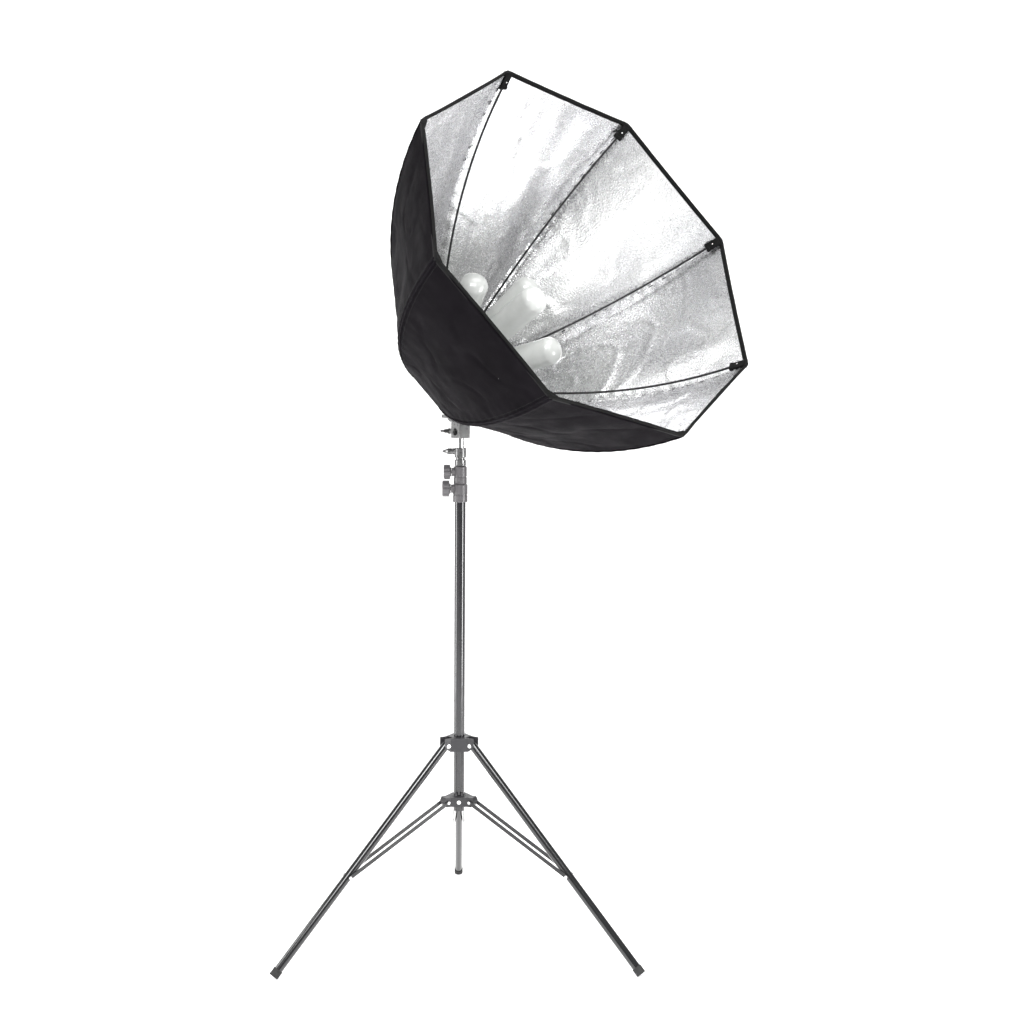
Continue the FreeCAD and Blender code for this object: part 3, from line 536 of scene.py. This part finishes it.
def make_cuff(mat):
    """The gathered cloth that closes the back round the lamp head."""
    verts, faces = [], []
    rings, steps = 14, 320
    for skin in (0, CLOTH):
        base = len(verts)
        for i in range(rings + 1):
            t = i / rings
            for j in range(steps):
                angle = math.tau * j / steps
                k = (FIRST_RIB - angle) / GORE_ANGLE
                u = k - math.floor(k)
                edge = CUFF_EDGE * math.cos(GORE_ANGLE / 2) / math.cos((u - 0.5) * GORE_ANGLE)
                r = edge + (CUFF_HOLE - edge) * t
                gather = math.sin(angle * GATHERS + 2 * math.sin(angle * 3)) * 0.0016 * t ** 1.3
                lip = 0.0028 * max(0.0, 1 - t * 14)
                z = 0.0102 - 0.003 * math.sin(math.pi * t) + lip + gather - skin
                verts.append((r * math.cos(angle), r * math.sin(angle), z))
        for i in range(rings):
            for j in range(steps):
                a, b = base + i * steps + j, base + i * steps + (j + 1) % steps
                quad = [a, b, b + steps, a + steps]
                faces.append(quad if skin else quad[::-1])
    half = len(verts) // 2
    for i in (0, rings):
        for j in range(steps):
            a, b = i * steps + j, i * steps + (j + 1) % steps
            faces.append([a, b, b + half, a + half])
    cuff = piece("back_cuff", verts, faces, [mat])
    face_out(cuff)
    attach(cuff, "head")
    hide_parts("rear_cuff")


def lathe(name, profile, mats, where, steps=72):
    """Turns a profile of (radius, height) into a closed piece."""
    verts, faces = [], []
    angles = [math.tau * j / steps for j in range(steps)]
    for r, z in profile:
        verts += [(r * math.cos(a), r * math.sin(a), z) for a in angles]
    for i in range(len(profile) - 1):
        for j in range(steps):
            a, b = i * steps + j, i * steps + (j + 1) % steps
            faces.append([a, b, b + steps, a + steps])
    faces.append(list(range(steps))[::-1])
    faces.append([(len(profile) - 1) * steps + j for j in range(steps)])
    obj = piece(name, verts, faces, mats, where=where)
    face_out(obj)
    return obj


def lamp_frames():
    """Where the five lamps stand: one on the axis and four leaning out round it."""
    spots = [HEAD @ Matrix.Translation((0, 0, 0.116))]
    for quarter in range(4):
        spin = Matrix.Rotation(math.radians(45 + 90 * quarter), 4, "Z")
        lean = Matrix.Translation((0.0414, 0, 0.0525)) @ Matrix.Rotation(math.radians(20), 4, "Y")
        spots.append(HEAD @ spin @ lean)
    return spots


def make_lamps(glass):
    """A glass tube with a rounded foot and a domed top, for each lamp."""
    profile = [(0.0235, 0.0441), (0.0262, 0.0446), (0.0294, 0.0466), (0.0306, 0.049), (LAMP_RADIUS, 0.052)]
    profile += [(LAMP_RADIUS, 0.052 + 0.149 * i / 8) for i in range(1, 9)]
    for i in range(1, 19):
        angle = math.pi / 2 * i / 18
        radius = LAMP_RADIUS * math.cos(angle) ** 0.9 if i < 18 else 0.0004
        profile.append((radius, 0.201 + 0.0228 * math.sin(angle)))
    for number, spot in enumerate(lamp_frames(), 1):
        lamp = lathe(f"lamp_glass_{number}", profile, [glass], spot)
        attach(lamp, "head")
        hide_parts(f"bulb_{number}")


# ---- camera, stage and light ---------------------------------------------------------------------

def make_camera():
    data = bpy.data.cameras.new("camera")
    data.sensor_width = 36
    data.lens = CAMERA_LENS
    camera = bpy.data.objects.new("camera", data)
    bpy.context.collection.objects.link(camera)
    ahead = Vector(CAMERA_AHEAD).normalized()
    right = ahead.cross(Vector((0, 0, 1))).normalized()
    up = right.cross(ahead)
    side = right * math.cos(CAMERA_ROLL) + up * math.sin(CAMERA_ROLL)
    top = up * math.cos(CAMERA_ROLL) - right * math.sin(CAMERA_ROLL)
    turn = Matrix((side, top, -ahead)).transposed().to_4x4()
    camera.matrix_world = Matrix.Translation(CAMERA_SPOT) @ turn
    bpy.context.scene.camera = camera


def make_stage():
    """A pale floor that curves up behind the stand."""
    s = Shade("studio_floor", Roughness=0.55, Specular_IOR_Level=0.2)
    s.bsdf.inputs["Emission Color"].default_value = (1, 1, 1, 1)
    split = s.add("ShaderNodeSeparateXYZ")
    s.link(s.coord, split.inputs[0])
    along = s.math("MULTIPLY", split.outputs["X"], 0.438)
    across = s.math("MULTIPLY", split.outputs["Y"], -0.899)
    s.set("Emission Strength", s.ramp(s.math("ADD", along, across), 1.45, 2.3, 0.5, 0.0))
    s.set("Base Color", s.colours(s.noise(3, 2), (0.90, 0.90, 0.90), (0.93, 0.93, 0.93)))
    verts, faces = [], []
    half_width, bend, bend_start, wall_top = 9.0, 1.6, 3.2, 7.0
    rows = [(-half_width, 0.0)]
    for i in range(13):
        angle = math.pi / 2 * i / 12
        rows.append((bend_start + bend * math.sin(angle), bend - bend * math.cos(angle)))
    rows.append((bend_start + bend, wall_top))
    for y, z in rows:
        for x in (-half_width, half_width):
            verts.append((x, y, z - 0.0005))
    for i in range(len(rows) - 1):
        faces.append([2 * i, 2 * i + 1, 2 * i + 3, 2 * i + 2])
    facing = Matrix.Rotation(math.radians(-41), 4, "Z")
    sweep_back = piece("studio_sweep", verts, faces, [s.mat], where=facing)


def lamp(name, where, aim, energy, size):
    """A rectangular studio light."""
    data = bpy.data.lights.new(name, "AREA")
    data.shape = "RECTANGLE"
    data.size, data.size_y = size
    data.energy = energy
    obj = bpy.data.objects.new(name, data)
    bpy.context.collection.objects.link(obj)
    obj.location = where
    obj.rotation_euler = (Vector(aim) - Vector(where)).to_track_quat("-Z", "Y").to_euler()
    return obj


def keep_off(lights, obj):
    """These lights draw streaks along the tubes and do not reach the canopy."""
    group = bpy.data.collections.new("streak_lights_skip")
    group.objects.link(obj)
    group.collection_objects[0].light_linking.link_state = "EXCLUDE"
    for light in lights:
        light.light_linking.receiver_collection = group


def make_light():
    """The world and the lights; returns the lights that only draw streaks."""
    world = bpy.data.worlds.new("studio")
    world.use_nodes = True
    back = world.node_tree.nodes["Background"]
    back.inputs["Color"].default_value = (1, 1, 1, 1)
    back.inputs["Strength"].default_value = 0.32
    bpy.context.scene.world = world
    lamp("key", (-2.7, -1.7, 2.9), (0, -0.2, 1.2), 62, (1.3, 1.3))
    streaks = [
        lamp("right_strip", (1.06, -2.81, 0.8), (0, 0, 0.6), 60, (0.7, 1.6)),
        lamp("left_strip", (-2.3, 1.45, 1.0), (0, 0, 0.8), 48, (0.7, 2.2)),
        lamp("leg_streak", (-1.60, -2.28, 3.24), (0, -0.1, 0.3), 90, (2.4, 1.2)),
    ]
    lamp("top", (0.2, -0.9, 4.2), (0, 0, 0.6), 55, (2.2, 2.2))
    bounce = bpy.data.lights.new("lamp_bounce", "POINT")
    bounce.energy = 0.4
    bounce.shadow_soft_size = 0.06
    glow = bpy.data.objects.new("lamp_bounce", bounce)
    bpy.context.collection.objects.link(glow)
    glow.location = HEAD @ Vector((0, 0, 0.40))
    scene = bpy.context.scene
    scene.view_settings.view_transform = "Standard"
    scene.view_settings.exposure = 0.0
    return streaks


# ---- make everything -----------------------------------------------------------------------------

make_camera()
make_stage()
streak_lights = make_light()

black_cloth = nylon()
lining = silver()
tape = webbing("binding_tape", 0.004)
thread = webbing("thread", 0.03)
chrome = steel("bright_steel", 0.8, 0.16)
glass = frosted()

keep_off(streak_lights, make_canopy(black_cloth, lining))
make_seams(black_cloth, thread)
make_binding(tape)
make_pockets(tape, chrome)
make_cuff(black_cloth)
make_lamps(glass)

FINISH = {
    "satin_black_tube": enamel("mast_enamel", (0.012, 0.0115, 0.014), 0.24, 1.0, 0.12),
    "gloss_black_leg": enamel("leg_enamel", (0.010, 0.010, 0.011), 0.18, 1.0, 0.12),
    "strut_black": enamel("strut_enamel", (0.012, 0.012, 0.013), 0.34, 0.5),
    "black_plastic": plastic("black_plastic", (0.034, 0.033, 0.036), 0.36),
    "grey_plastic": plastic("grey_plastic", (0.105, 0.10, 0.105), 0.34),
    "rubber_black": plastic("foot_rubber", (0.018, 0.018, 0.018), 0.68, 0.5),
    "bright_steel": chrome,
    "cast_grey": cast_metal("cast_grey", 0.19, 0.3),
    "black_metal": enamel("black_metal", (0.014, 0.014, 0.015), 0.4, 0.3),
    "spring_wire": enamel("spring_wire", (0.006, 0.006, 0.0065), 0.4, 0.15),
    "ballast_white": plastic("ballast_white", (0.72, 0.72, 0.70), 0.3, 0.1),
}
for entry in frame["record"]["subparts"]:
    look = FINISH.get(entry["material_slot"])
    if look:
        for slot in NODES[entry["node"]].material_slots:
            slot.material = look
